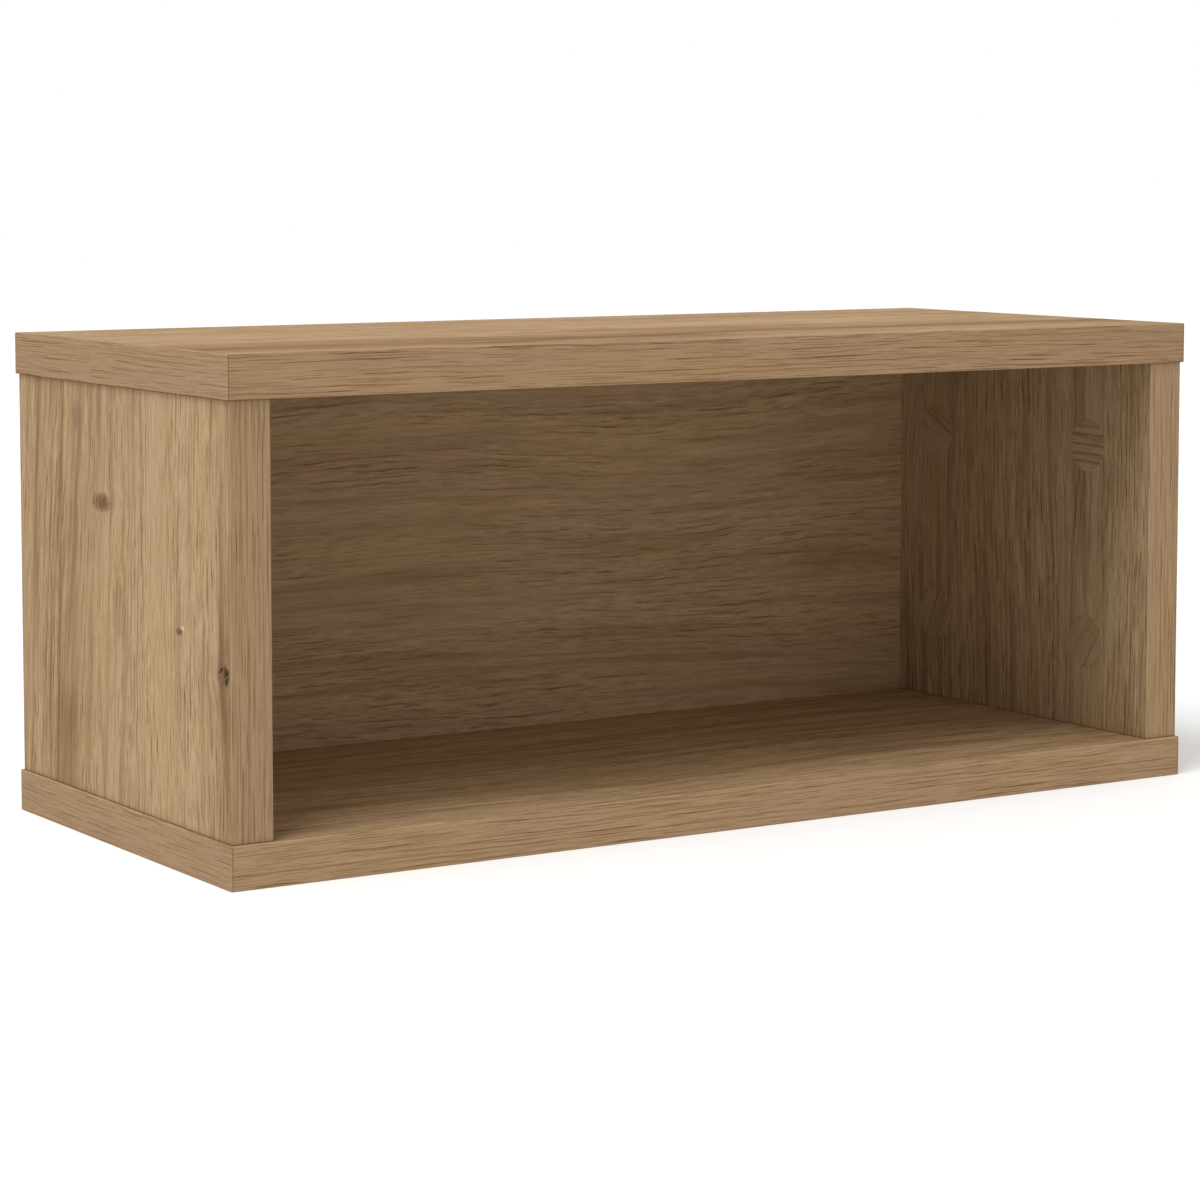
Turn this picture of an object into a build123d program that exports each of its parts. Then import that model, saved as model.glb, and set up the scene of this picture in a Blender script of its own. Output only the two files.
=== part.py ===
from build123d import *
import os

# Open-fronted box rack of melamine-faced panels: a top and a bottom board that lap over two side boards
# and a back board. Cam locks hold the sides, wooden dowels place them and the back board, and round caps
# in the same decor hide the cams.
# Millimetres. The origin is the middle of the footprint, on the surface that the rack stands on.
# +X is to the right as seen from the front, the open front faces -Y and +Z is up.

# Overall sizes
rack_width = 407.5
rack_depth = 172.5
rack_height = 175.0

# Panels and their edge bands
panel = 15.0  # thickness of every board
inset = 1.0  # the sides and the back stand this far inside the top and bottom boards' edges
band = 0.6  # thickness of an edge band
arris = min(0.5, 0.9 * band)  # rounding of a band's outer edges, which stays inside the band

# Rows of fittings along the sides' joints
row_setback = 36.0  # from a side board's front edge to the first cam
row_pitch = 32.0
back_dowel_offset = 128.0  # from the middle of the back board to each of its dowels

# Cam locks, sunk in the sides' inner faces
cam_diameter = 14.9
cam_reach = 34.0  # from a joint to the cam's axis
cam_past_bolt = 5.0  # from the bolt's axis to the bottom of the cam's bore
cam_sink = 0.2  # from the board's face down to the cam
cam_wall = 2.2  # wall round the space for the bolt's head
cam_rim = 0.6  # chamfer round the cam's face
cross_length = 8.0
cross_width = 1.7
cross_depth = 2.4

# Cam bolts, screwed into the top and bottom boards
thread_diameter = 4.9
thread_root = 3.6
thread_length = 11.0
thread_pitch = 2.2
collar_diameter = 7.5
collar_length = 2.0
shank_diameter = 6.0
neck_diameter = 4.0
neck_length = 5.0
head_diameter = 7.0
head_length = 3.0
recess_length = 4.2
recess_width = 1.1
recess_depth = 1.5

# Wooden dowels
dowel_diameter = 7.9
dowel_length = 30.0
dowel_in_board = 9.5  # the part of a dowel that stands in a top or bottom board
dowel_chamfer = 1.0
flute_count = 12
flute_depth = 0.35

# Cover caps over the cams
cap_diameter = 20.0
cap_thickness = 0.3
cap_rim = 0.1

# Clearances
bore_fit = 0.05  # radial, round cams, dowels and threads
bolt_room = 0.25  # radial, round the widest part of a bolt and its neck
head_play = 0.1  # between a bolt's head and the wall of the cam's pocket
end_gap = 0.5  # past the end of a dowel or a thread

# Faces and planes that follow
joint_face = {"bottom": (panel, 0), "top": (rack_height - panel, 180)}  # height, turn about X
upright_height = rack_height - 2 * panel
side_depth = rack_depth - 2 * inset
side_front = -side_depth / 2
side_inner = rack_width / 2 - inset - panel
side_middle = side_inner + panel / 2
back_front = side_depth / 2 - panel
back_middle = back_front + panel / 2

# Rows that follow: the last cam is the last step of the row whose cap clears the back board
first_row = side_front + row_setback
row_steps = int((back_front - first_row - cap_diameter / 2) // row_pitch)
cam_rows = {"front": first_row, "rear": first_row + row_steps * row_pitch}
side_dowel_rows = [first_row + step * row_pitch for step in sorted({1, row_steps - 1})]

# Bores that follow
cam_bore = cam_diameter + 2 * bore_fit
cam_bore_depth = panel / 2 + cam_past_bolt
cam_height = cam_bore_depth - cam_sink
bolt_bore = max(head_diameter, collar_diameter) + 2 * bolt_room
thread_bore = thread_diameter + 2 * bore_fit
dowel_bore = dowel_diameter + 2 * bore_fit
dowel_in_upright = dowel_length - dowel_in_board

# Seat of a bolt's flat head behind the round wall of the cam's pocket, from the joint
cam_pocket = cam_diameter / 2 - cam_wall
head_seat = cam_reach - (cam_pocket**2 - (head_diameter / 2) ** 2) ** 0.5 + head_play

# Both hands of the rack, as signs of X
hands = {"left": -1, "right": 1}


def save(piece, name):
    """Names a finished piece and writes it to a file of its own."""
    piece.part.label = name
    export_step(piece.part, f"parts/{name}.step")


def stand_on(level, points):
    """Places on a joint's face that point into the uprights, from (x, y) pairs."""
    height, turn = joint_face[level]
    return [Location((x, y, height), (turn, 0, 0)) for x, y in points]


def bolt_points(hand):
    """(x, y) of one side's cam bolts."""
    return [(hand * side_middle, y) for y in cam_rows.values()]


def side_dowel_points(hand):
    """(x, y) of one side's dowels."""
    return [(hand * side_middle, y) for y in side_dowel_rows]


def back_dowel_points():
    """(x, y) of the back board's dowels."""
    return [(x, back_middle) for x in (-back_dowel_offset, back_dowel_offset)]


def cam_plane(hand, level, row):
    """A cam's axis on a side's inner face: Z points into the bay and X at the joint that it pulls shut."""
    height, turn = joint_face[level]
    inwards = 1 if turn == 0 else -1
    return Plane(
        origin=(hand * side_inner, cam_rows[row], height + inwards * cam_reach),
        x_dir=(0, 0, -inwards),
        z_dir=(-hand, 0, 0),
    )


def flat_board(level, underside):
    """A top or bottom board without its bands, bored from its inner face."""
    bolts = [point for hand in hands.values() for point in bolt_points(hand)]
    dowels = [point for hand in hands.values() for point in side_dowel_points(hand)]
    with BuildPart() as board:
        with BuildSketch(Plane.XY.offset(underside)):
            Rectangle(rack_width - 2 * band, rack_depth - 2 * band)
        extrude(amount=panel)
        with Locations(*stand_on(level, bolts)):
            Hole(thread_bore / 2, thread_length + end_gap)
        with Locations(*stand_on(level, dowels + back_dowel_points())):
            Hole(dowel_bore / 2, dowel_in_board + end_gap)
    return board


def long_band(side, underside):
    """The front (-1) or rear (1) band of a flat board, which runs between the end bands."""
    with BuildPart() as strip:
        with BuildSketch(Plane.XY.offset(underside)):
            with Locations((0, side * (rack_depth - band) / 2)):
                Rectangle(rack_width - 2 * band, band)
        extrude(amount=panel)
        outer = strip.faces().sort_by(Axis.Y)[0 if side < 0 else -1]
        fillet(outer.edges().filter_by(Axis.X), arris)
    return strip


def end_band(hand, underside):
    """The left (-1) or right (1) band of a flat board, which laps the ends of the long bands."""
    with BuildPart() as strip:
        with BuildSketch(Plane.XY.offset(underside)):
            with Locations((hand * (rack_width - band) / 2, 0)):
                Rectangle(band, rack_depth)
        extrude(amount=panel)
        glued = strip.faces().sort_by(Axis.X)[-1 if hand < 0 else 0]
        fillet(strip.edges() - glued.edges(), arris)
    return strip


def side_board(hand):
    """A side board without its bands, bored for its bolts, dowels and cams."""
    with BuildPart() as board:
        with BuildSketch(Plane.XY.offset(panel)):
            with Locations((hand * side_middle, 0)):
                Rectangle(panel, side_depth - 2 * band)
        extrude(amount=upright_height)
        for level in joint_face:
            with Locations(*stand_on(level, bolt_points(hand))):
                Hole(bolt_bore / 2, cam_reach)
            with Locations(*stand_on(level, side_dowel_points(hand))):
                Hole(dowel_bore / 2, dowel_in_upright + end_gap)
            with Locations(*[cam_plane(hand, level, row) for row in cam_rows]):
                Hole(cam_bore / 2, cam_bore_depth)
    return board


def upright_band(hand, side):
    """The front (-1) or rear (1) band of a side board."""
    with BuildPart() as strip:
        with BuildSketch(Plane.XY.offset(panel)):
            with Locations((hand * side_middle, side * (side_depth - band) / 2)):
                Rectangle(panel, band)
        extrude(amount=upright_height)
        outer = strip.faces().sort_by(Axis.Y)[0 if side < 0 else -1]
        fillet(outer.edges().filter_by(Axis.Z), arris)
    return strip


def back_board():
    """The back board, which stands between the sides and is bored for its dowels."""
    with BuildPart() as board:
        with BuildSketch(Plane.XY.offset(panel)):
            with Locations((0, back_middle)):
                Rectangle(2 * side_inner, panel)
        extrude(amount=upright_height)
        for level in joint_face:
            with Locations(*stand_on(level, back_dowel_points())):
                Hole(dowel_bore / 2, dowel_in_upright + end_gap)
    return board


def cam_lock():
    """One cam: its face lies below z = 0, and the bolt comes in along +X to its pocket."""
    bolt_axis = -panel / 2
    entry = head_diameter / 2 + bolt_room
    slot = neck_diameter / 2 + bolt_room
    with BuildPart() as cam:
        with BuildSketch(Plane.XY.offset(-cam_bore_depth)):
            Circle(cam_diameter / 2)
        extrude(amount=cam_height)
        chamfer(cam.edges().sort_by(Axis.Z)[-1], cam_rim)
        # room for the bolt's head round the cam's axis
        with BuildSketch(Plane.XY.offset(bolt_axis - entry)):
            Circle(cam_pocket)
        extrude(amount=2 * entry, mode=Mode.SUBTRACT)
        # slot that lets the wall turn past the bolt's neck
        with BuildSketch(Plane.XY.offset(bolt_axis - slot)):
            with Locations((0, -slot)):
                Rectangle(2 * cam_diameter, cam_diameter, align=(Align.CENTER, Align.MIN))
        extrude(amount=2 * slot, mode=Mode.SUBTRACT)
        # mouth for the head, on the far side from the locked bolt
        with BuildSketch(Plane.YZ):
            with Locations((0, bolt_axis)):
                Circle(entry)
        extrude(amount=-cam_diameter, mode=Mode.SUBTRACT)
        # cross for the screwdriver
        with BuildSketch(Plane.XY.offset(-cam_sink)):
            Rectangle(cross_length, cross_width)
            Rectangle(cross_width, cross_length)
        extrude(amount=-cross_depth, mode=Mode.SUBTRACT)
    return cam


def bolt_profile():
    """Half outline of a bolt in (radius, height), from the tip of its thread to the end of its head."""
    root = thread_root / 2
    crest = thread_diameter / 2
    ridges = int(thread_length // thread_pitch)
    points = [(0, -thread_length)]
    for ridge in range(ridges):
        low = -thread_length + ridge * thread_pitch
        points += [(root, low), (crest, low + thread_pitch / 2), (root, low + thread_pitch)]
    collar = collar_diameter / 2
    shank = shank_diameter / 2
    neck = neck_diameter / 2
    head = head_diameter / 2
    points += [(root, 0), (collar, 0), (collar, collar_length), (shank, collar_length)]
    points += [(shank, head_seat - neck_length), (neck, head_seat - neck_length), (neck, head_seat)]
    points += [(head, head_seat), (head, head_seat + head_length / 2), (neck, head_seat + head_length)]
    points += [(0, head_seat + head_length)]
    return [point for point, last in zip(points, [None] + points) if point != last]


def cam_bolt():
    """One bolt: it stands on z = 0, with its thread below and its head above."""
    profile = bolt_profile()
    with BuildPart() as bolt:
        with BuildSketch(Plane.XZ):
            with BuildLine():
                Polyline(*profile, close=True)
            make_face()
        revolve(axis=Axis.Z)
        with BuildSketch(Plane.XY.offset(profile[-1][1])):
            Rectangle(recess_length, recess_width)
            Rectangle(recess_width, recess_length)
        extrude(amount=-recess_depth, mode=Mode.SUBTRACT)
    return bolt


def wooden_dowel():
    """One fluted dowel: it stands through z = 0, with its shorter part below."""
    with BuildPart() as dowel:
        with BuildSketch(Plane.XY.offset(-dowel_in_board)):
            Circle(dowel_diameter / 2)
        extrude(amount=dowel_length)
        chamfer(dowel.edges().filter_by(GeomType.CIRCLE), dowel_chamfer)
        with BuildSketch(Plane.XY.offset(-dowel_in_board)):
            with PolarLocations(dowel_diameter / 2, flute_count):
                Rectangle(2**0.5 * flute_depth, 2**0.5 * flute_depth, rotation=45)
        extrude(amount=dowel_length, mode=Mode.SUBTRACT)
    return dowel


def group(piece, places):
    """Separate copies of one fastener, in one node."""
    with BuildPart() as copies:
        with Locations(*places):
            add(piece.part)
    return copies


def cover_cap(plane):
    """One stick-on cap, over the mouth of a cam's bore."""
    with BuildPart() as cap:
        with BuildSketch(plane):
            Circle(cap_diameter / 2)
        extrude(amount=cap_thickness)
        rim = cap.faces().filter_by(Axis.X).sort_by_distance(plane.origin)[-1]
        chamfer(rim.edges(), cap_rim)
    return cap


os.makedirs("parts", exist_ok=True)

for level, underside in (("bottom", 0), ("top", rack_height - panel)):
    save(flat_board(level, underside), f"{level}_board")
    for place, side in (("front", -1), ("rear", 1)):
        save(long_band(side, underside), f"{level}_{place}_band")
    for place, hand in hands.items():
        save(end_band(hand, underside), f"{level}_{place}_band")

for name, hand in hands.items():
    save(side_board(hand), f"{name}_side_board")
    for place, side in (("front", -1), ("rear", 1)):
        save(upright_band(hand, side), f"{name}_side_{place}_band")
    for level in joint_face:
        for row in cam_rows:
            save(cover_cap(cam_plane(hand, level, row)), f"{name}_{level}_{row}_cap")

save(back_board(), "back_board")

bolt_places = []
dowel_places = []
cam_places = []
for level in joint_face:
    dowel_places += stand_on(level, back_dowel_points())
    for hand in hands.values():
        bolt_places += stand_on(level, bolt_points(hand))
        dowel_places += stand_on(level, side_dowel_points(hand))
        cam_places += [cam_plane(hand, level, row) for row in cam_rows]
save(group(cam_bolt(), bolt_places), "cam_bolts")
save(group(wooden_dowel(), dowel_places), "wooden_dowels")
save(group(cam_lock(), cam_places), "cam_locks")
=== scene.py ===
"""Visual model of a CD rack: a low open box of boards with an oak print, in plain soft studio light.

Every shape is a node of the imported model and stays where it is. This file gives each node its finish: the
oak print of the boards, their edge bands and cover caps, and the metal and beech of the hidden fixings.
Around them it sets the floor, the lamp and the camera. Places and sizes on a print are in millimetres, those
of the studio in metres.
"""

import logging
import math
from collections.abc import Iterable, Mapping
from dataclasses import dataclass
from enum import Enum

import bpy
import numpy as np
from mathutils import Euler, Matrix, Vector


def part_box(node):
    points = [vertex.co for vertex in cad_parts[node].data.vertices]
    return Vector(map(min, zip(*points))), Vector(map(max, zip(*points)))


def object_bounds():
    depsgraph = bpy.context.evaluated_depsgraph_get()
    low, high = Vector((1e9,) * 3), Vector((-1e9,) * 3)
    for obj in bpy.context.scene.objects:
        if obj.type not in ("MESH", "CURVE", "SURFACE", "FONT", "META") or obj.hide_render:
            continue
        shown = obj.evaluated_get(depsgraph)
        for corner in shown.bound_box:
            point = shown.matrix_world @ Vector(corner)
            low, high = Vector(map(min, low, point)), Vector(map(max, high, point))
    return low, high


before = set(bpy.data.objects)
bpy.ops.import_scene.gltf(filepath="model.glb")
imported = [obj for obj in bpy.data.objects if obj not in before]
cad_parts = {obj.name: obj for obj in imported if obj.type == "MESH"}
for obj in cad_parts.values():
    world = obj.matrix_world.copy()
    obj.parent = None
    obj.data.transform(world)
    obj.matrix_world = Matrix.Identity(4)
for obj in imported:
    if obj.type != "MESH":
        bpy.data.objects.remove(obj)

CAD_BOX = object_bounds()
MM = 0.001
MIDDLE = tuple((CAD_BOX[0] + CAD_BOX[1]) / 2 / MM)

log = logging.getLogger("cd_rack")

Span = tuple[float, float]
Triple = tuple[float, float, float]
Colour = tuple[float, float, float, float]
WHITE: Colour = (1.0, 1.0, 1.0, 1.0)
PLAIN: Triple = (1.0, 1.0, 1.0)


def screen_colour(red: int, green: int, blue: int) -> Colour:
    """Turn an 8-bit screen colour into the linear colour that shaders take, by the sRGB curve.

    Args:
        red: Red, 0 to 255.
        green: Green, 0 to 255.
        blue: Blue, 0 to 255.

    Returns:
        The linear colour with full alpha.
    """
    share = np.array([red, green, blue]) / 255.0
    linear = np.where(share <= 0.04045, share / 12.92, ((share + 0.055) / 1.055) ** 2.4)
    return (*(float(part) for part in linear), 1.0)


class Signal:
    """A number that varies over a surface: an output socket that Python's operators work on."""

    def __init__(self, bench: "Bench", socket: bpy.types.NodeSocket) -> None:
        """Keep the socket and the bench that its node stands on."""
        self.bench = bench
        self.socket = socket

    def math(self, operation: str, *values: "Signal | float") -> "Signal":
        """Put values, in the order of the sockets, through one Math node of that operation."""
        node = self.bench.add("ShaderNodeMath", {"operation": operation}, dict(enumerate(values)))
        return Signal(self.bench, node.outputs[0])

    def __add__(self, other: "Signal | float") -> "Signal":
        """Sum."""
        return self.math("ADD", self, other)

    def __radd__(self, other: float) -> "Signal":
        """Sum with a number in front."""
        return self.math("ADD", other, self)

    def __sub__(self, other: "Signal | float") -> "Signal":
        """Difference."""
        return self.math("SUBTRACT", self, other)

    def __rsub__(self, other: float) -> "Signal":
        """Difference from a number."""
        return self.math("SUBTRACT", other, self)

    def __mul__(self, other: "Signal | float") -> "Signal":
        """Product."""
        return self.math("MULTIPLY", self, other)

    def __rmul__(self, other: float) -> "Signal":
        """Product with a number in front."""
        return self.math("MULTIPLY", other, self)

    def __truediv__(self, other: "Signal | float") -> "Signal":
        """Quotient."""
        return self.math("DIVIDE", self, other)

    def __rtruediv__(self, other: float) -> "Signal":
        """Quotient of a number."""
        return self.math("DIVIDE", other, self)

    def __abs__(self) -> "Signal":
        """Size without its sign."""
        return self.math("ABSOLUTE", self)

    def squared(self) -> "Signal":
        """Square."""
        return self.math("POWER", self, 2.0)

    def whole(self) -> "Signal":
        """Largest whole number below it."""
        return self.math("FLOOR", self)

    def centred(self) -> "Signal":
        """Difference of a noise from its middle value."""
        return self - 0.5

    def fading(self, rate: float = 1.0) -> "Signal":
        """Exponential fall from 1 where the signal is 0, faster at a higher rate."""
        return self.math("EXPONENT", self * -rate)

    def at_least(self, other: "Signal | float") -> "Signal":
        """Larger of the two."""
        return self.math("MAXIMUM", self, other)

    def rise(self, start: float, end: float) -> "Signal":
        """Climb smoothly from 0 where the signal is start to 1 where it is end.

        Args:
            start: Value that gives 0.
            end: Value that gives 1, above or below start.

        Returns:
            The smooth step.
        """
        low, high = min(start, end), max(start, end)
        node = self.bench.add(
            "ShaderNodeMapRange",
            {"interpolation_type": "SMOOTHSTEP"},
            {0: self, 1: low, 2: high, 3: 0.0, 4: 1.0},
        )
        step = Signal(self.bench, node.outputs[0])
        return step if end > start else 1.0 - step


class Bench:
    """The node tree of a material or a world, on which a finish lays its nodes."""

    def __init__(self, owner: bpy.types.Material | bpy.types.World) -> None:
        """Empty the owner's tree and keep it.

        Args:
            owner: The material or the world.
        """
        owner.use_nodes = True
        self.owner = owner
        self.tree = owner.node_tree
        self.tree.nodes.clear()

    @classmethod
    def material(cls, name: str) -> "Bench":
        """Start a material of that name."""
        return cls(bpy.data.materials.new(name))

    def add(
        self,
        kind: str,
        settings: Mapping[str, object] | None = None,
        inputs: Mapping[int | str, object] | None = None,
    ) -> bpy.types.Node:
        """Add a node, set it up and feed its sockets.

        Args:
            kind: The node's type.
            settings: Its properties, which are set before anything is linked.
            inputs: Value, signal or socket for each input, by number or name.

        Returns:
            The node.
        """
        node = self.tree.nodes.new(kind)
        for name, value in (settings or {}).items():
            setattr(node, name, value)
        for key, value in (inputs or {}).items():
            if isinstance(value, Signal):
                value = value.socket
            if isinstance(value, bpy.types.NodeSocket):
                self.tree.links.new(value, node.inputs[key])
            else:
                node.inputs[key].default_value = value
        return node

    def vector(self, operation: str, inputs: Mapping[int | str, object]) -> bpy.types.Node:
        """Add a Vector Math node of that operation."""
        return self.add("ShaderNodeVectorMath", {"operation": operation}, inputs)

    def place(self) -> bpy.types.NodeSocket:
        """Give the surface point in the rack's own coordinates, in millimetres."""
        point = self.add("ShaderNodeTexCoord").outputs["Object"]
        return self.vector("SCALE", {0: point, "Scale": 1 / MM}).outputs[0]

    def offset(self, start: Triple) -> bpy.types.NodeSocket:
        """Give the surface point measured from a start, in millimetres."""
        return self.vector("SUBTRACT", {0: self.place(), 1: start}).outputs[0]

    def reach(self, offset: bpy.types.NodeSocket, direction: Triple) -> Signal:
        """Measure an offset in a direction, in millimetres."""
        return Signal(self, self.vector("DOT_PRODUCT", {0: offset, 1: direction}).outputs["Value"])

    def noise(self, vector: bpy.types.NodeSocket, detail: float = 0.0, scale: float = 1.0) -> Signal:
        """Read a cloud noise at a point.

        Args:
            vector: Point to read.
            detail: Number of finer octaves.
            scale: Cells per unit of length.

        Returns:
            The noise, around 0.5.
        """
        node = self.add(
            "ShaderNodeTexNoise",
            {"noise_dimensions": "3D"},
            {"Vector": vector, "Scale": scale, "Detail": detail},
        )
        return Signal(self, node.outputs[0])

    def noise_at(self, first: Signal, second: Signal, third: Signal, detail: float = 0.0) -> Signal:
        """Read a cloud noise of unit cells and that many finer octaves at three coordinates."""
        point = self.add("ShaderNodeCombineXYZ", {}, {0: first, 1: second, 2: third})
        return self.noise(point.outputs[0], detail)

    def blend(
        self,
        share: Signal,
        first: Colour | bpy.types.NodeSocket,
        second: Colour | bpy.types.NodeSocket,
    ) -> bpy.types.NodeSocket:
        """Mix two colours.

        Args:
            share: How much of the second colour shows.
            first: Colour under it.
            second: Colour over it.

        Returns:
            The mixed colour.
        """
        # The sockets are numbered here because some of the Mix node's share a name.
        settings = {"data_type": "RGBA", "blend_type": "MIX", "clamp_factor": True}
        return self.add("ShaderNodeMix", settings, {0: share, 6: first, 7: second}).outputs[2]

    def finish(
        self,
        base: bpy.types.NodeSocket,
        roughness: Signal,
        relief: Signal,
        depth: float,
        **fixed: float,
    ) -> bpy.types.Material:
        """Close the tree with a Principled shader.

        Args:
            base: Base colour.
            roughness: Roughness of the surface.
            relief: Height of the surface, 0 to 1.
            depth: Distance in millimetres that a relief of 1 stands for.
            fixed: Sockets that keep one value, by name with underscores for spaces.

        Returns:
            The finished material.
        """
        bump = self.add("ShaderNodeBump", {}, {"Strength": 1.0, "Distance": depth * MM, "Height": relief})
        inputs = {"Base Color": base, "Roughness": roughness, "Normal": bump.outputs[0]}
        inputs.update({name.replace("_", " "): value for name, value in fixed.items()})
        shader = self.add("ShaderNodeBsdfPrincipled", {}, inputs)
        self.add("ShaderNodeOutputMaterial", {}, {0: shader.outputs[0]})
        return self.owner


@dataclass(frozen=True)
class Lay:
    """Where a print starts on a face, and which way its length and its width run."""

    start: Triple
    along: Triple
    across: Triple

    def coordinates(self, bench: Bench) -> tuple[Signal, Signal, Signal]:
        """Measure a surface point along the print, across it and into the board.

        Args:
            bench: Bench that the nodes go on.

        Returns:
            The three distances from the start, in millimetres.
        """
        offset = bench.offset(self.start)
        inward = tuple(Vector(self.along).cross(Vector(self.across)))
        along, across, depth = (bench.reach(offset, way) for way in (self.along, self.across, inward))
        return along, across, depth


class Grain(Enum):
    """Direction of the grain on a board or band."""

    LENGTHWISE = ((1.0, 0.0, 0.0), (0.0, 1.0, 0.0))
    LENGTHWISE_UPRIGHT = ((1.0, 0.0, 0.0), (0.0, 0.0, 1.0))
    FRONT_TO_BACK = ((0.0, 1.0, 0.0), (0.0, 0.0, 1.0))
    UP_ACROSS_DEPTH = ((0.0, 0.0, 1.0), (0.0, 1.0, 0.0))
    UP_ACROSS_WIDTH = ((0.0, 0.0, 1.0), (1.0, 0.0, 0.0))

    def lay(self, start: Triple) -> Lay:
        """Lay the print from that start in this direction."""
        along, across = self.value
        return Lay(start, along, across)


@dataclass(frozen=True)
class Knot:
    """A knot in the print: its middle, its half sizes and its colours, in the print's own directions.

    The swirl is how strongly the grain swerves round it, and the lean tips the cracks inside it.
    """

    along: float
    across: float
    half_along: float
    half_across: float
    colour: Colour
    cracks: Colour
    strength: float = 0.85
    swirl: float = 0.4
    lean: float = 0.0


@dataclass(frozen=True)
class Streak:
    """A long dark line of the print from one end to the other, or a light one if its strength is below 0."""

    low_along: float
    high_along: float
    low_across: float
    high_across: float
    half_width: float
    strength: float
    fade: float = 10.0

    def mask(self, along: Signal, across: Signal) -> Signal:
        """Mask the streak: a bell curve round a straight line between its two ends, faded at both.

        Args:
            along: Place with the grain.
            across: Place across the grain.

        Returns:
            The mask, 0 to 1.
        """
        slope = (self.high_across - self.low_across) / (self.high_along - self.low_along)
        middle = (along - self.low_along) * slope + self.low_across
        bell = ((across - middle) / self.half_width).squared().fading()
        ends = along.rise(self.low_along - self.fade, self.low_along + self.fade)
        return bell * ends * along.rise(self.high_along + self.fade, self.high_along - self.fade)


@dataclass(frozen=True)
class Seam:
    """A glue line where two pieces meet, on a plane and on its mirror image, with a painted soft shadow
    beside it.

    The plane is measured from the rack's middle. The core is the share of the line that is fully dark.
    """

    normal: Triple
    distance: float
    half_width: float = 0.16
    shade_reach: float = 1.0
    shade: float = 0.0
    core: float = 0.4

    def mask(self, bench: Bench) -> Signal:
        """Mask the thin dark line, and the painted shadow that fades beside it.

        Args:
            bench: Bench that the nodes go on.

        Returns:
            The mask, 0 to 1.
        """
        off = abs(abs(bench.reach(bench.offset(MIDDLE), self.normal)) - self.distance)
        line = off.rise(self.half_width, self.half_width * self.core)
        return line.at_least(off.fading(1 / self.shade_reach) * self.shade) if self.shade else line


class Trace(Enum):
    """How a layer of the print turns its noise into a tone."""

    CLOUD = "darker and lighter alike"
    BAND = "dark where the noise is high"
    LINES = "thin dark lines side by side, wavy and broken"


@dataclass(frozen=True)
class Cell:
    """Length with the grain and width across it of the cells of a noise."""

    length: float
    width: float


@dataclass(frozen=True)
class Layer:
    """One layer of the print's figure: its cells, or its dashes and their spacing, and its strength.

    A band or a line is dark where its noise climbs through the span from start to end.
    """

    trace: Trace
    length: float
    width: float
    share: float
    start: float = 0.50
    end: float = 0.70

    @property
    def fine(self) -> bool:
        """Tell whether it belongs to the fine figure: lines, and clouds under a millimetre wide."""
        return self.trace is Trace.LINES or self.width < 1.0

    def cell(self, lengths: float = 1.0, widths: float = 1.0) -> Cell:
        """Give a cell of that many of its lengths and widths."""
        return Cell(self.length * lengths, self.width * widths)


BOARD_FIGURE = (
    Layer(Trace.CLOUD, 200.0, 18.0, 0.40),
    Layer(Trace.BAND, 110.0, 4.6, 0.26, 0.50, 0.74),
    Layer(Trace.CLOUD, 34.0, 2.2, 0.44),
    Layer(Trace.LINES, 24.0, 2.6, 0.34, 0.44, 0.60),
    Layer(Trace.LINES, 9.0, 1.5, 0.32, 0.46, 0.60),
    Layer(Trace.CLOUD, 9.0, 0.75, 0.56),
    Layer(Trace.CLOUD, 3.2, 0.42, 0.36),
)
BAND_FIGURE = (
    Layer(Trace.CLOUD, 120.0, 12.0, 0.06),
    Layer(Trace.LINES, 34.0, 1.9, 0.34, 0.44, 0.58),
    Layer(Trace.LINES, 18.0, 0.95, 0.42, 0.46, 0.60),
    Layer(Trace.CLOUD, 24.0, 0.45, 0.44),
    Layer(Trace.CLOUD, 4.0, 0.4, 0.25),
)


class Sheet(Enum):
    """How far into the noise a pattern of the print is read, so that no two patterns are alike."""

    RIPPLE = 2.0
    SWAY = 7.0
    FIGURE = 11.0
    TINT = 37.0
    ZONE = 53.0


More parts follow.
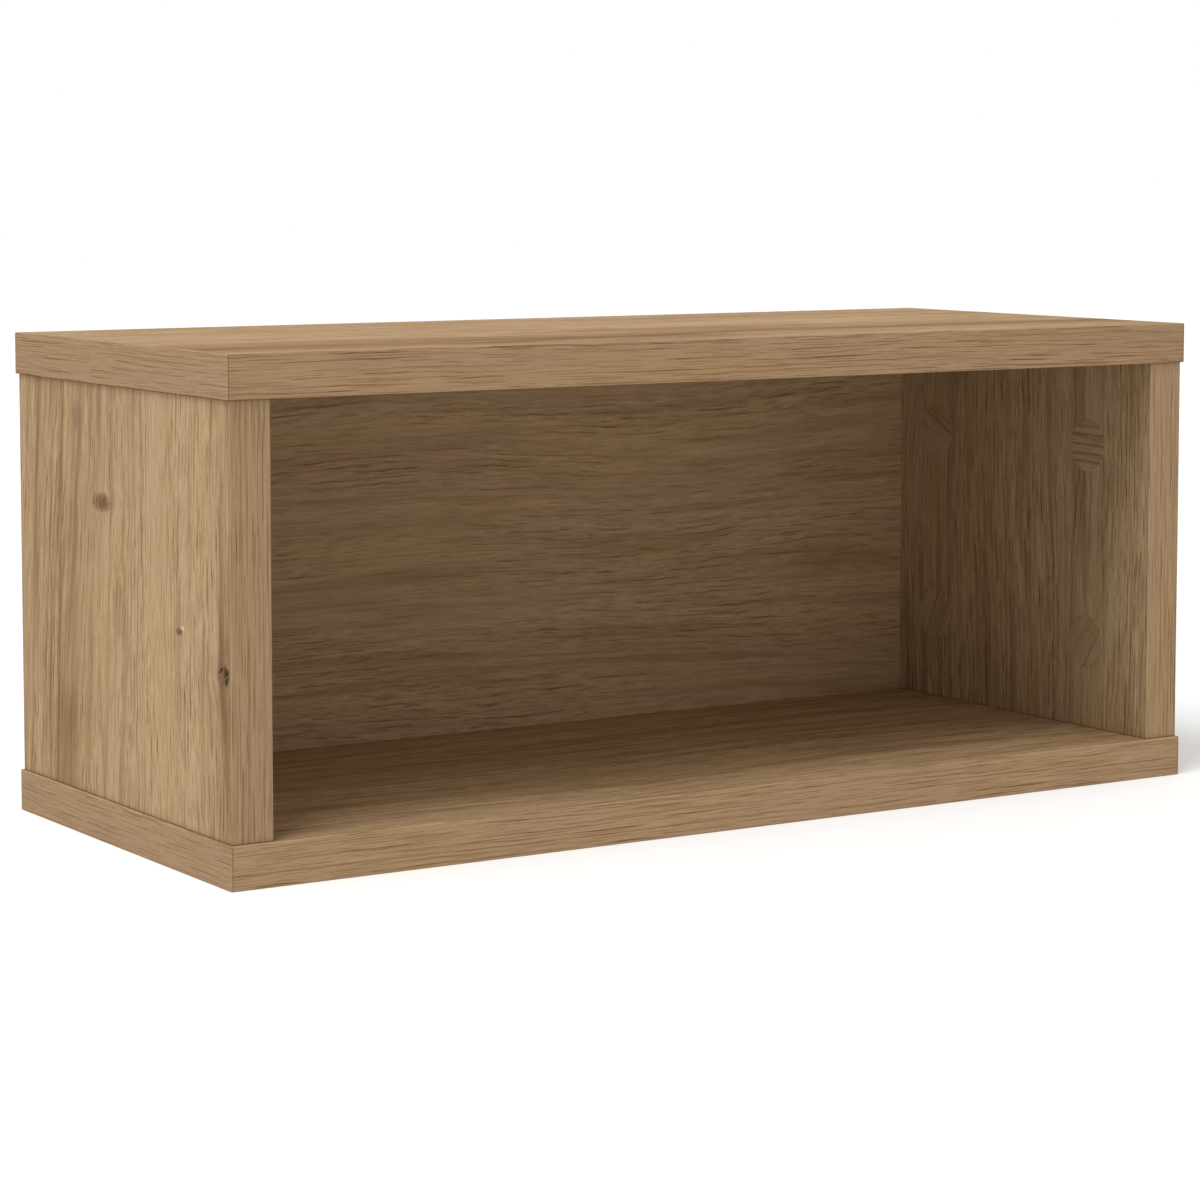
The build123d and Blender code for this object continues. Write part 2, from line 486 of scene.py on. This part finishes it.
@dataclass(frozen=True)
class OakPrint:
    """The printed oak decor of a board face, an edge band or a cover cap.

    The broad figure blends the print to its heart colour, the fine one to its dark colour. ground and grit
    are what the two have everywhere, contrast strengthens or weakens both, and patchy sets how much the fine
    one differs from zone to zone. The grain drifts slowly and sways quickly across its line, and lean tips
    it more and more over the span lean_over. tone is the share of red, green and blue that the foil keeps,
    and on some pieces it also holds painted light and shade.
    """

    lay: Lay
    seed: float
    figure: tuple[Layer, ...] = BOARD_FIGURE
    knots: tuple[Knot, ...] = ()
    streaks: tuple[Streak, ...] = ()
    seams: tuple[Seam, ...] = ()
    tone: Triple = PLAIN
    ground: float = 0.16
    grit: float = 0.16
    contrast: float = 1.0
    patchy: float = 0.5
    drift: float = 12.0
    sway: float = 1.6
    lean: float = 0.0
    lean_over: Span = (-60.0, 50.0)

    # Colours of every piece, before its tone.
    pale: Colour = screen_colour(198, 170, 131)
    rosy: Colour = screen_colour(198, 169, 135)
    heart: Colour = screen_colour(120, 87, 59)
    dark: Colour = screen_colour(118, 84, 44)
    # This colour draws the glue lines and also the painted shadow beside the side walls' joints.
    glue_and_shade: Colour = screen_colour(122, 95, 68)

    # Slow changes over a face, and how deep in the board its knots and streaks end.
    drift_cell: Cell = Cell(160.0, 55.0)
    sway_cell: Cell = Cell(24.0, 7.0)
    tint_cell: Cell = Cell(110.0, 14.0)
    tint_over: Span = (0.35, 0.65)
    zone_cell: Cell = Cell(140.0, 20.0)
    zone_over: Span = (0.34, 0.62)
    zone_middle: float = 0.6
    layer_depth: float = 6.0
    face_depth: Span = (4.0, 2.0)
    streak_drift: float = 0.25

    # Thin lines. They wander and ripple in cells of so many of their lengths and widths.
    line_over: Span = (0.22, 0.06)
    line_step: float = 7.31
    wander_cell: tuple[float, float] = (4.0, 4.0)
    wander: float = 1.4
    ripple_cell: tuple[float, float] = (0.35, 2.0)
    ripple: float = 0.45

    # Knots: their frayed edge, their pull on the grain and their cracks.
    knot_over: Span = (1.9, 0.7)
    knot_fray: float = 3.0
    knot_pull: float = 0.30
    crack_cell: Cell = Cell(0.9, 9.0)
    crack_over: Span = (0.36, 0.58)

    # Surface of the foil, with the relief in millimetres.
    roughness: float = 0.70
    roughening: float = 0.15
    relief: float = 0.05
    gloss: float = 0.02

    def toned(self, colour: Colour) -> Colour:
        """Give a colour of the print in this piece's tone."""
        return (*(part * share for part, share in zip(colour, self.tone)), 1.0)

    def stretched(self, bench: Bench, along: Signal, across: Signal, layer: Signal, cell: Cell) -> Signal:
        """Read a noise of cells stretched with the grain, where each layer has a pattern of its own."""
        return bench.noise_at(along / cell.length, across / cell.width, layer)

    def material(self, name: str) -> bpy.types.Material:
        """Make the material.

        The print is a sum of noises stretched with the grain, read at a place across the grain that drifts
        slowly and swerves round each knot.

        Args:
            name: Name of the material.

        Returns:
            The material.
        """
        bench = Bench.material(name)
        along, across, depth = self.lay.coordinates(bench)
        layer = depth / self.layer_depth + self.seed
        on_face = abs(depth).rise(*self.face_depth)

        drift = self.stretched(bench, along, across, layer, self.drift_cell).centred()
        sway = self.stretched(bench, along, across, layer + Sheet.SWAY.value, self.sway_cell).centred()
        swerve = drift * self.drift + sway * self.sway
        bent = across + swerve + along * self.lean * across.rise(*self.lean_over)
        reaches = [self.knot_reach(knot, along, across) for knot in self.knots]
        for knot, reach in zip(self.knots, reaches):
            bent = bent - (across - knot.across) * reach.fading(self.knot_pull) * knot.swirl * on_face

        broad, fine = self.figured(bench, along, bent, layer)
        for streak in self.streaks:
            mask = streak.mask(along, across + swerve * self.streak_drift)
            broad = broad + mask * streak.strength * on_face

        tint = self.stretched(bench, along, bent, layer + Sheet.TINT.value, self.tint_cell)
        colour = bench.blend(tint.rise(*self.tint_over), self.toned(self.pale), self.toned(self.rosy))
        colour = bench.blend(broad, colour, self.toned(self.heart))
        colour = bench.blend(fine, colour, self.toned(self.dark))
        for knot, reach in zip(self.knots, reaches):
            inside = self.knot_colour(bench, knot, along, across, layer)
            edge = (reach + fine * self.knot_fray).rise(*self.knot_over)
            colour = bench.blend(edge * knot.strength * on_face, colour, inside)
        for seam in self.seams:
            # Each seam blends in its dark glue line and, where it has a shade, a painted shadow beside it.
            colour = bench.blend(seam.mask(bench), colour, self.glue_and_shade)

        roughness = self.roughness + fine * self.roughening
        return bench.finish(colour, roughness, 1.0 - fine, self.relief, Specular_IOR_Level=self.gloss)

    def figured(self, bench: Bench, along: Signal, across: Signal, layer: Signal) -> tuple[Signal, Signal]:
        """Add up the layers of the figure, the fine ones weaker in some zones than in others.

        Args:
            bench: Bench that the nodes go on.
            along: Place with the grain.
            across: Place across the grain, drift included.
            layer: Third coordinate of the noises.

        Returns:
            How dark the broad figure is, and how dark the fine one is.
        """
        broad, fine = 0.0, 0.0
        for number, part in enumerate(self.figure, start=1):
            tone = self.traced(bench, part, along, across, layer + Sheet.FIGURE.value * number)
            if part.fine:
                fine = fine + tone * (part.share * self.contrast)
            else:
                broad = broad + tone * (part.share * self.contrast)
        zone = self.stretched(bench, along, across, layer + Sheet.ZONE.value, self.zone_cell)
        strength = (zone.rise(*self.zone_over) - self.zone_middle) * self.patchy + 1.0
        return broad + self.ground, fine * strength + self.grit

    def traced(self, bench: Bench, part: Layer, along: Signal, across: Signal, layer: Signal) -> Signal:
        """Draw one layer of the figure in its own way.

        Args:
            bench: Bench that the nodes go on.
            part: The layer.
            along: Place with the grain.
            across: Place across the grain, drift included.
            layer: Third coordinate of the noises.

        Returns:
            How dark the layer is.
        """
        if part.trace is Trace.LINES:
            return self.lines(bench, part, along, across, layer)
        noise = self.stretched(bench, along, across, layer, part.cell())
        return noise.rise(part.start, part.end) if part.trace is Trace.BAND else noise.centred()

    def lines(self, bench: Bench, part: Layer, along: Signal, across: Signal, layer: Signal) -> Signal:
        """Draw thin dark lines side by side, each wavy and broken into dashes of its own.

        Args:
            bench: Bench that the nodes go on.
            part: The layer, whose width is the distance from line to line.
            along: Place with the grain.
            across: Place across the grain, drift included.
            layer: Third coordinate of the noises.

        Returns:
            The mask, 0 to 1.
        """
        wander = self.stretched(bench, along, across, layer, part.cell(*self.wander_cell)).centred()
        beside = layer + Sheet.RIPPLE.value
        ripple = self.stretched(bench, along, across, beside, part.cell(*self.ripple_cell)).centred()
        count = across / part.width + wander * self.wander + ripple * self.ripple
        number = count.whole()
        off = abs((count - number).centred())
        dashes = bench.noise_at(along / part.length, number * self.line_step, layer)
        return off.rise(*self.line_over) * dashes.rise(part.start, part.end)

    def knot_reach(self, knot: Knot, along: Signal, across: Signal) -> Signal:
        """Measure how far a point is from a knot: 0 in the middle, 1 on its edge, squared beyond.

        Args:
            knot: The knot.
            along: Place with the grain.
            across: Place across the grain.

        Returns:
            The squared distance in half sizes.
        """
        off_along = (along - knot.along) / knot.half_along
        off_across = (across - knot.across) / knot.half_across
        return off_along.squared() + off_across.squared()

    def knot_colour(
        self, bench: Bench, knot: Knot, along: Signal, across: Signal, layer: Signal
    ) -> bpy.types.NodeSocket:
        """Colour the inside of a knot: fine cracks that lean across it.

        Args:
            bench: Bench that the nodes go on.
            knot: The knot.
            along: Place with the grain.
            across: Place across the grain.
            layer: Third coordinate of the noise.

        Returns:
            The colour.
        """
        slant = along + (across - knot.across) * knot.lean
        cracks = self.stretched(bench, slant, across, layer, self.crack_cell)
        return bench.blend(cracks.rise(*self.crack_over), knot.colour, knot.cracks)


def band_print(
    lay: Lay, seed: float, seams: tuple[Seam, ...], tone: Triple, contrast: float = 1.0
) -> OakPrint:
    """Describe the print of an edge band, whose lines are finer, straighter and more even than a board's.

    Args:
        lay: Where the print starts and how it runs.
        seed: Seed of its noises.
        seams: Glue lines on it.
        tone: Its tone.
        contrast: How strongly its figure shows.

    Returns:
        The print.
    """
    return OakPrint(
        lay, seed, BAND_FIGURE, seams=seams, tone=tone, contrast=contrast, patchy=0.2, drift=2.0, sway=0.4
    )


@dataclass(frozen=True)
class Metal:
    """Bare or plated metal of the hidden fixings, with fine scratches or casting grain."""

    colour: Colour
    worn: Colour
    roughness: float
    grain: float
    wear_scale: float = 0.35
    wear_over: Span = (0.35, 0.7)
    roughening: float = 0.2
    relief: float = 0.02

    def material(self, name: str) -> bpy.types.Material:
        """Make the material.

        Args:
            name: Name of the material.

        Returns:
            The material.
        """
        bench = Bench.material(name)
        place = bench.place()
        wear = bench.noise(place, detail=3.0, scale=self.wear_scale)
        grain = bench.noise(place, detail=2.0, scale=self.grain)
        colour = bench.blend(wear.rise(*self.wear_over), self.colour, self.worn)
        roughness = self.roughness + grain.centred() * self.roughening
        return bench.finish(colour, roughness, grain, self.relief, Metallic=1.0)


@dataclass(frozen=True)
class Beech:
    """Turned and fluted beech of the dowels, with its short dark flecks."""

    lay: Lay
    pale: Colour = screen_colour(218, 184, 142)
    dark: Colour = screen_colour(166, 122, 82)
    fleck_cell: Cell = Cell(3.0, 0.4)
    fleck_over: Span = (0.55, 0.72)
    fleck_share: float = 0.7
    cloud_scale: float = 0.15
    cloud_share: float = 0.2
    roughness: float = 0.6
    roughening: float = 0.1
    relief: float = 0.03

    def material(self, name: str) -> bpy.types.Material:
        """Make the material.

        Args:
            name: Name of the material.

        Returns:
            The material.
        """
        bench = Bench.material(name)
        along, across, depth = self.lay.coordinates(bench)
        cell = self.fleck_cell
        flecks = bench.noise_at(along / cell.length, across / cell.width, depth / cell.width, detail=1.0)
        cloud = bench.noise(bench.place(), detail=2.0, scale=self.cloud_scale)
        share = flecks.rise(*self.fleck_over) * self.fleck_share + cloud * self.cloud_share
        colour = bench.blend(share, self.pale, self.dark)
        return bench.finish(colour, self.roughness + flecks * self.roughening, flecks, self.relief)


def dress(node: str, material: bpy.types.Material) -> None:
    """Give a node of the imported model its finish.

    Args:
        node: Name of the node.
        material: Finish for each of its material slots.
    """
    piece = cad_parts[node]
    for slot in piece.material_slots:
        slot.material = material
    log.info("dressed %s in %s", node, material.name)


def corners_of(node: str) -> tuple[Vector, Vector]:
    """Give the lowest and the highest corner of a node's box, in millimetres."""
    low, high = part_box(node)
    return low / MM, high / MM


def middle_of(node: str) -> Triple:
    """Give the middle of a node's box, in millimetres."""
    low, high = corners_of(node)
    return tuple((low + high) / 2)


class Level(Enum):
    """Which shelf it is, by the word that its nodes' names start with."""

    BOTTOM = "bottom"
    TOP = "top"


@dataclass
class Shelf:
    """The top or the bottom board with its four edge bands."""

    level: Level
    seed: float
    streaks: tuple[Streak, ...] = ()
    # The tones are each piece's own colour and also painted light and shade: darker on the top's board and
    # bands, where more light falls, and lighter on the bottom's long bands, where less falls.
    board_tone_and_painted_light: Triple = PLAIN
    long_tone_and_painted_light: Triple = PLAIN
    end_tone_and_painted_light: Triple = PLAIN
    end_contrast: float = 0.78
    long_seed: float = 3.0
    end_seed: float = 5.0

    def dress(self) -> None:
        """Print the board and its bands."""
        name = self.level.value
        low, high = corners_of(f"{name}_board")
        ends = Seam((1.0, 0.0, 0.0), high.x)
        rims = Seam((0.0, 1.0, 0.0), high.y)
        lay = Grain.LENGTHWISE.lay((0.0, 0.0, high.z if self.level is Level.TOP else low.z))
        board = OakPrint(lay, self.seed, streaks=self.streaks, seams=(ends, rims), tone=self.board_tone_and_painted_light)
        dress(f"{name}_board", board.material(f"oak_{name}_board"))
        lay = Grain.LENGTHWISE_UPRIGHT.lay(middle_of(f"{name}_front_band"))
        band = band_print(lay, self.seed + self.long_seed, (ends, rims), self.long_tone_and_painted_light)
        finish = band.material(f"oak_{name}_long_bands")
        for edge in ("front", "rear"):
            dress(f"{name}_{edge}_band", finish)
        lay = Grain.FRONT_TO_BACK.lay(middle_of(f"{name}_left_band"))
        band = band_print(lay, self.seed + self.end_seed, (ends,), self.end_tone_and_painted_light, self.end_contrast)
        finish = band.material(f"oak_{name}_end_bands")
        for edge in ("left", "right"):
            dress(f"{name}_{edge}_band", finish)


@dataclass(frozen=True)
class CapGrain:
    """How the grain lies on a cover cap: its slope in degrees towards the back, and its dark lines."""

    turn: float
    lines: tuple[float, ...]
    half_width: float = 0.5
    strength: float = 0.45
    reach: float = 25.0

    @property
    def streaks(self) -> tuple[Streak, ...]:
        """Draw its lines from edge to edge."""
        look = (self.half_width, self.strength)
        return tuple(Streak(-self.reach, self.reach, off, off, *look) for off in self.lines)


class Hand(Enum):
    """Which side wall it is, by the word that its nodes' names start with."""

    LEFT = "left"
    RIGHT = "right"


@dataclass
class SideWall:
    """A side board with its two edge bands and the cover caps on its inner face.

    Its knots and streaks are on the outer face, or on the inner one if inward.
    """

    hand: Hand
    seed: float
    caps: Mapping[str, CapGrain]
    knots: tuple[Knot, ...] = ()
    streaks: tuple[Streak, ...] = ()
    inward: bool = False
    board_tone_and_painted_light: Triple = PLAIN
    band_tone: Triple = PLAIN
    band_contrast: float = 0.9
    band_seed: float = 3.0
    cap_contrast: float = 0.6
    ground: float = 0.16
    lean: float = 0.0

    def dress(self) -> None:
        """Print the board, its bands and its caps."""
        name = self.hand.value
        low, high = corners_of(f"{name}_side_board")
        outer, inner = (low.x, high.x) if self.hand is Hand.LEFT else (high.x, low.x)
        # The noises count from the outer face into the board, also where the print starts on the inner face.
        seed = self.seed + (high.x - low.x) / OakPrint.layer_depth * self.inward
        rims = Seam((0.0, 1.0, 0.0), high.y)
        # The joints' shade is a painted contact shadow on the side wall and its bands, under the top board
        # and above the bottom board.
        joints_and_painted_shade = Seam((0.0, 0.0, 1.0), high.z - MIDDLE[2], half_width=0.45, shade_reach=0.7, shade=0.5)
        board = OakPrint(
            Grain.UP_ACROSS_DEPTH.lay((inner if self.inward else outer, 0.0, 0.0)),
            seed,
            knots=self.knots,
            streaks=self.streaks,
            seams=(rims, joints_and_painted_shade),
            tone=self.board_tone_and_painted_light,
            ground=self.ground,
            lean=self.lean,
        )
        dress(f"{name}_side_board", board.material(f"oak_{name}_side_board"))
        lay = Grain.UP_ACROSS_WIDTH.lay(middle_of(f"{name}_side_front_band"))
        seed = self.seed + self.band_seed
        band = band_print(lay, seed, (rims, joints_and_painted_shade), self.band_tone, self.band_contrast)
        finish = band.material(f"oak_{name}_side_bands")
        for edge in ("front", "rear"):
            dress(f"{name}_side_{edge}_band", finish)
        for place, grain in self.caps.items():
            self.dress_cap(f"{name}_{place}_cap", grain)

    def dress_cap(self, node: str, grain: CapGrain) -> None:
        """Print a cover cap with its grain turned.

        Args:
            node: Name of the cap's node.
            grain: How its grain lies.
        """
        turn = math.radians(grain.turn)
        along = (0.0, math.cos(turn), math.sin(turn))
        across = (0.0, -math.sin(turn), math.cos(turn))
        cap = OakPrint(
            Lay(middle_of(node), along, across),
            self.seed + grain.turn,
            streaks=grain.streaks,
            tone=self.board_tone_and_painted_light,
            contrast=self.cap_contrast,
        )
        dress(node, cap.material(f"oak_{node}"))


@dataclass
class BackWall:
    """The back board between the sides."""

    seed: float = 61.0
    contrast: float = 0.8

    def dress(self) -> None:
        """Print the board."""
        low, _ = corners_of("back_board")
        lay = Grain.LENGTHWISE_UPRIGHT.lay((0.0, low.y, low.z))
        board = OakPrint(lay, self.seed, contrast=self.contrast)
        dress("back_board", board.material("oak_back_board"))


@dataclass
class Fixings:
    """Cam locks, their bolts and the dowels, all hidden in the joints."""

    zinc: Metal = Metal(
        screen_colour(176, 176, 174), screen_colour(140, 140, 138), roughness=0.42, grain=4.0
    )
    steel: Metal = Metal(
        screen_colour(198, 200, 203), screen_colour(168, 170, 172), roughness=0.28, grain=7.0
    )
    beech: Beech = Beech(Grain.UP_ACROSS_WIDTH.lay((0.0, 0.0, 0.0)))

    def dress(self) -> None:
        """Give the metal and the wood of the fixings their finish."""
        dress("cam_locks", self.zinc.material("zinc_casting"))
        dress("cam_bolts", self.steel.material("plated_steel"))
        dress("wooden_dowels", self.beech.material("beech_dowel"))


@dataclass(frozen=True)
class Softbox:
    """A square area lamp aimed at the rack."""

    name: str
    place: Triple
    aim: Triple
    size: float
    power: float

    def hang(self) -> None:
        """Put the lamp in its place."""
        lamp = bpy.data.lights.new(self.name, "AREA")
        lamp.shape = "SQUARE"
        lamp.size = self.size
        lamp.energy = self.power
        holder = bpy.data.objects.new(self.name, lamp)
        holder.location = self.place
        holder.rotation_euler = (Vector(self.aim) - Vector(self.place)).to_track_quat("-Z", "Y").to_euler()
        bpy.context.scene.collection.objects.link(holder)


@dataclass(frozen=True)
class PaleFloor:
    """Matt pale floor, which the camera sees lifted to white where no shadow falls.

    The lift grows from near_lift to far_lift over the span lift_over, in millimetres from the rack.
    """

    colour: Colour = screen_colour(243, 243, 242)
    cloud: Colour = screen_colour(236, 236, 235)
    cloud_scale: float = 0.01
    cloud_share: float = 0.1
    near_lift: float = 0.22
    far_lift: float = 0.50
    lift_over: Span = (400.0, 2500.0)

    def material(self, name: str) -> bpy.types.Material:
        """Make the material.

        Args:
            name: Name of the material.

        Returns:
            The material.
        """
        bench = Bench.material(name)
        cloud = bench.noise(bench.place(), detail=2.0, scale=self.cloud_scale)
        colour = bench.blend(cloud * self.cloud_share, self.colour, self.cloud)
        matt = bench.add("ShaderNodeBsdfDiffuse", {}, {"Color": colour})
        seen = Signal(bench, bench.add("ShaderNodeLightPath").outputs["Is Camera Ray"])
        away = Signal(bench, bench.vector("LENGTH", {0: bench.place()}).outputs["Value"])
        lift = away.rise(*self.lift_over) * (self.far_lift - self.near_lift) + self.near_lift
        glow = bench.add("ShaderNodeEmission", {}, {"Strength": lift * seen})
        both = bench.add("ShaderNodeAddShader", {}, {0: matt.outputs[0], 1: glow.outputs[0]})
        bench.add("ShaderNodeOutputMaterial", {}, {0: both.outputs[0]})
        return bench.owner


@dataclass
class Studio:
    """Floor, even surroundings, lamp and camera. Places and sizes are in metres, angles in degrees."""

    floor_half: float = 6.0
    floor_steps: int = 24
    ambient: float = 0.56
    camera_place: Triple = (-0.6934, -1.0784, 0.2345)
    camera_yaw: float = 32.469
    camera_pitch: float = -4.796
    camera_lens: float = 103.18
    camera_sensor: float = 36.0
    camera_shift: float = -0.12
    key: Softbox = Softbox(
        "key_softbox", place=(-1.12, -0.42, 2.6), aim=(0.0, 0.0, 0.09), size=1.2, power=45.0
    )

    def build(self) -> None:
        """Set up everything that isn't the rack."""
        self.lay_floor()
        self.light_world()
        self.key.hang()
        self.place_camera()
        bpy.context.scene.view_settings.view_transform = "Standard"

    def lay_floor(self) -> None:
        """Lay the floor: a flat grid of points (u, v, 0), with u and v from -floor_half to floor_half."""
        steps = np.linspace(-self.floor_half, self.floor_half, self.floor_steps + 1)
        across, away = np.meshgrid(steps, steps)
        points = np.stack([across, away, np.zeros_like(across)], axis=-1).reshape(-1, 3)
        mesh = grid_mesh("floor", points, self.floor_steps + 1)
        floor = bpy.data.objects.new("floor", mesh)
        bpy.context.scene.collection.objects.link(floor)
        mesh.materials.append(PaleFloor().material("pale_floor"))

    def light_world(self) -> None:
        """Light the world evenly, and show it white to the camera and in reflections."""
        world = bpy.data.worlds.new("studio")
        bench = Bench(world)
        path = bench.add("ShaderNodeLightPath")
        seen = Signal(bench, path.outputs["Is Camera Ray"])
        for ray in ("Is Glossy Ray", "Is Transmission Ray"):
            seen = seen.at_least(Signal(bench, path.outputs[ray]))
        strength = seen * (1.0 - self.ambient) + self.ambient
        sky = bench.add("ShaderNodeBackground", {}, {"Color": WHITE, "Strength": strength})
        bench.add("ShaderNodeOutputWorld", {}, {0: sky.outputs[0]})
        bpy.context.scene.world = world

    def place_camera(self) -> None:
        """Put the camera where the photograph was taken from."""
        data = bpy.data.cameras.new("camera")
        data.lens = self.camera_lens
        data.sensor_width = self.camera_sensor
        data.shift_y = self.camera_shift
        camera = bpy.data.objects.new("camera", data)
        camera.location = self.camera_place
        # A camera looks down where its tilt is 0 and level where it is 90 degrees.
        tilt, turn = math.radians(90.0 + self.camera_pitch), math.radians(-self.camera_yaw)
        camera.rotation_euler = Euler((tilt, 0.0, turn))
        bpy.context.scene.collection.objects.link(camera)
        bpy.context.scene.camera = camera


def grid_mesh(name: str, points: np.ndarray, row: int) -> bpy.types.Mesh:
    """Make a mesh of quads from a grid of points.

    Args:
        name: Name of the mesh.
        points: Points, row by row, as an array of n by 3.
        row: Number of points in a row.

    Returns:
        The mesh.
    """
    index = np.arange(len(points)).reshape(-1, row)
    quads = np.stack([index[:-1, :-1], index[:-1, 1:], index[1:, 1:], index[1:, :-1]], axis=-1)
    mesh = bpy.data.meshes.new(name)
    mesh.from_pydata(points.tolist(), [], quads.reshape(-1, 4).tolist())
    return mesh


def bottom_shelf() -> Shelf:
    """Describe the bottom, whose board has the plain figure."""
    # The long bands' lighter tone is painted light, making up for the shade that the floor beside the rack
    # leaves on them.
    return Shelf(Level.BOTTOM, seed=41.0, long_tone_and_painted_light=(1.03, 1.0, 1.0), end_tone_and_painted_light=(0.94, 0.93, 0.958))


def top_shelf() -> Shelf:
    """Describe the top, whose board shows a dark heart along its front half.

    Each streak has its two ends along the grain, its places across the grain there, its half width, its
    strength and, where it isn't the usual one, its fade.

    Returns:
        The top.
    """
    streaks = (
        Streak(-230.0, 12.0, -58.0, -61.0, 17.0, 0.54, 26.0),
        Streak(-230.0, -80.0, -35.0, -32.0, 12.0, 0.20),
        Streak(5.0, 230.0, -43.0, -46.0, 13.0, 0.47, 26.0),
        Streak(-30.0, 60.0, -14.0, -18.0, 8.0, 0.38, 22.0),
        Streak(-15.0, 55.0, -31.0, -31.0, 7.0, 0.16, 22.0),
        Streak(60.0, 150.0, -20.0, -24.0, 8.0, 0.12),
        Streak(-112.0, -74.0, -74.0, -70.0, 6.0, 0.26, 16.0),
        Streak(-30.0, 0.0, -52.0, -52.0, 8.0, 0.18),
        Streak(30.0, 110.0, 46.0, 48.0, 8.0, 0.18),
        Streak(-230.0, -140.0, 52.0, 54.0, 10.0, -0.16),
        Streak(90.0, 230.0, 2.0, 10.0, 15.0, -0.20),
        Streak(-110.0, 20.0, 26.0, 26.0, 11.0, -0.12),
    )
    # The top's darker tones are partly painted shade, against the extra light and sheen that fall on its
    # board and bands.
    return Shelf(
        Level.TOP,
        seed=53.0,
        streaks=streaks,
        board_tone_and_painted_light=(0.99, 0.972, 0.962),
        long_tone_and_painted_light=(0.953, 0.909, 0.885),
        end_tone_and_painted_light=(0.90, 0.876, 0.884),
    )


def left_wall() -> SideWall:
    """Describe the left wall, whose outer face shows the knots and streaks of its print.

    Each knot has its place along and across the grain, its half sizes, its colour and its cracks' colour.

    Returns:
        The wall.
    """
    brown, russet = screen_colour(138, 108, 84), screen_colour(118, 88, 63)
    umber, cream = screen_colour(108, 80, 60), screen_colour(220, 200, 168)
    charcoal, olive = screen_colour(38, 32, 25), screen_colour(122, 106, 78)
    knots = (
        Knot(119.0, 14.0, 3.5, 8.3, brown, russet, strength=0.92, swirl=0.3, lean=0.3),
        Knot(80.8, -46.9, 1.3, 2.5, umber, umber),
        Knot(82.2, -49.9, 0.8, 1.5, cream, cream, swirl=0.0),
        Knot(70.2, -80.3, 3.8, 4.8, olive, charcoal, strength=0.92, lean=0.6),
        Knot(148.0, 34.5, 6.0, 4.5, brown, brown, strength=0.45, swirl=0.0),
    )
    streaks = (
        Streak(0.0, 170.0, 78.5, 66.5, 1.5, 0.36),
        Streak(0.0, 170.0, 55.5, 46.0, 1.5, 0.34),
        Streak(0.0, 170.0, 61.0, 56.0, 0.9, 0.26),
        Streak(30.0, 170.0, 73.5, 64.0, 0.8, 0.20),
        Streak(0.0, 150.0, 42.0, 36.0, 3.5, 0.18),
        Streak(0.0, 50.0, 48.0, 46.0, 10.0, 0.34),
        Streak(30.0, 130.0, 47.0, 44.0, 9.0, 0.12),
        Streak(15.0, 110.0, 64.0, 62.0, 3.0, 0.08),
        Streak(72.0, 118.0, 2.5, -4.0, 1.3, 0.22),
        Streak(20.0, 55.0, 15.0, 18.0, 0.9, 0.24),
        Streak(0.0, 170.0, -30.0, -28.0, 5.5, -0.42),
        Streak(0.0, 112.0, -27.0, -27.0, 6.5, -0.26),
        Streak(0.0, 118.0, 10.0, 8.0, 4.5, -0.16),
        Streak(0.0, 170.0, -53.0, -49.0, 7.0, -0.20),
        Streak(0.0, 60.0, -66.0, -68.0, 5.0, -0.12),
        Streak(0.0, 90.0, 71.0, 70.0, 4.0, -0.08),
        Streak(54.0, 86.0, -80.0, -81.0, 5.0, 0.16),
        Streak(80.0, 170.0, 84.0, 80.0, 4.0, -0.12),
        Streak(0.0, 66.0, -83.0, -81.0, 7.0, 0.31),
        Streak(68.0, 108.0, -81.0, -84.5, 5.0, 0.30),
    )
    caps = {
        "bottom_front": CapGrain(20.0, (5.0, -2.5)),
        "top_front": CapGrain(75.0, (-6.0, 1.5, 3.5)),
        "bottom_rear": CapGrain(-40.0, (2.0,)),
        "top_rear": CapGrain(8.0, (6.5, -3.0)),
    }
    return SideWall(
        Hand.LEFT,
        seed=11.0,
        caps=caps,
        knots=knots,
        streaks=streaks,
        board_tone_and_painted_light=(1.035, 1.032, 1.036),
        band_tone=(0.95, 0.925, 0.915),
        ground=0.10,
        lean=0.09,
    )


def right_wall() -> SideWall:
    """Describe the right wall, whose front caps have their grain level and leaning.

    Returns:
        The wall.
    """
    caps = {
        "bottom_front": CapGrain(-59.0, (-4.4,)),
        "top_front": CapGrain(0.8, (7.5, 4.5, 0.5, -3.0, -6.0)),
        "bottom_rear": CapGrain(-65.0, (1.0, -5.5)),
        "top_rear": CapGrain(30.0, (4.0,)),
    }
    streaks = (
        Streak(72.0, 120.0, -38.5, -44.0, 0.5, 0.42),
        Streak(80.0, 120.0, -49.8, -50.8, 0.5, 0.42),
        Streak(88.0, 114.0, -43.5, -46.5, 0.4, 0.34),
    )
    # The board's darker, less red tone is painted shade: it darkens the inner face of the bay and takes the
    # red out of the light bounced inside it.
    return SideWall(
        Hand.RIGHT,
        seed=29.0,
        caps=caps,
        streaks=streaks,
        inward=True,
        board_tone_and_painted_light=(0.93, 0.96, 0.975),
        band_tone=(0.99, 0.958, 0.958),
    )


def main() -> None:
    """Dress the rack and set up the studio."""
    logging.basicConfig(level=logging.INFO, format="%(name)s: %(message)s")
    assemblies: Iterable[Shelf | SideWall | BackWall | Fixings] = (
        bottom_shelf(),
        top_shelf(),
        left_wall(),
        right_wall(),
        BackWall(),
        Fixings(),
    )
    for assembly in assemblies:
        assembly.dress()
    Studio().build()


if __name__ == "__main__":
    main()
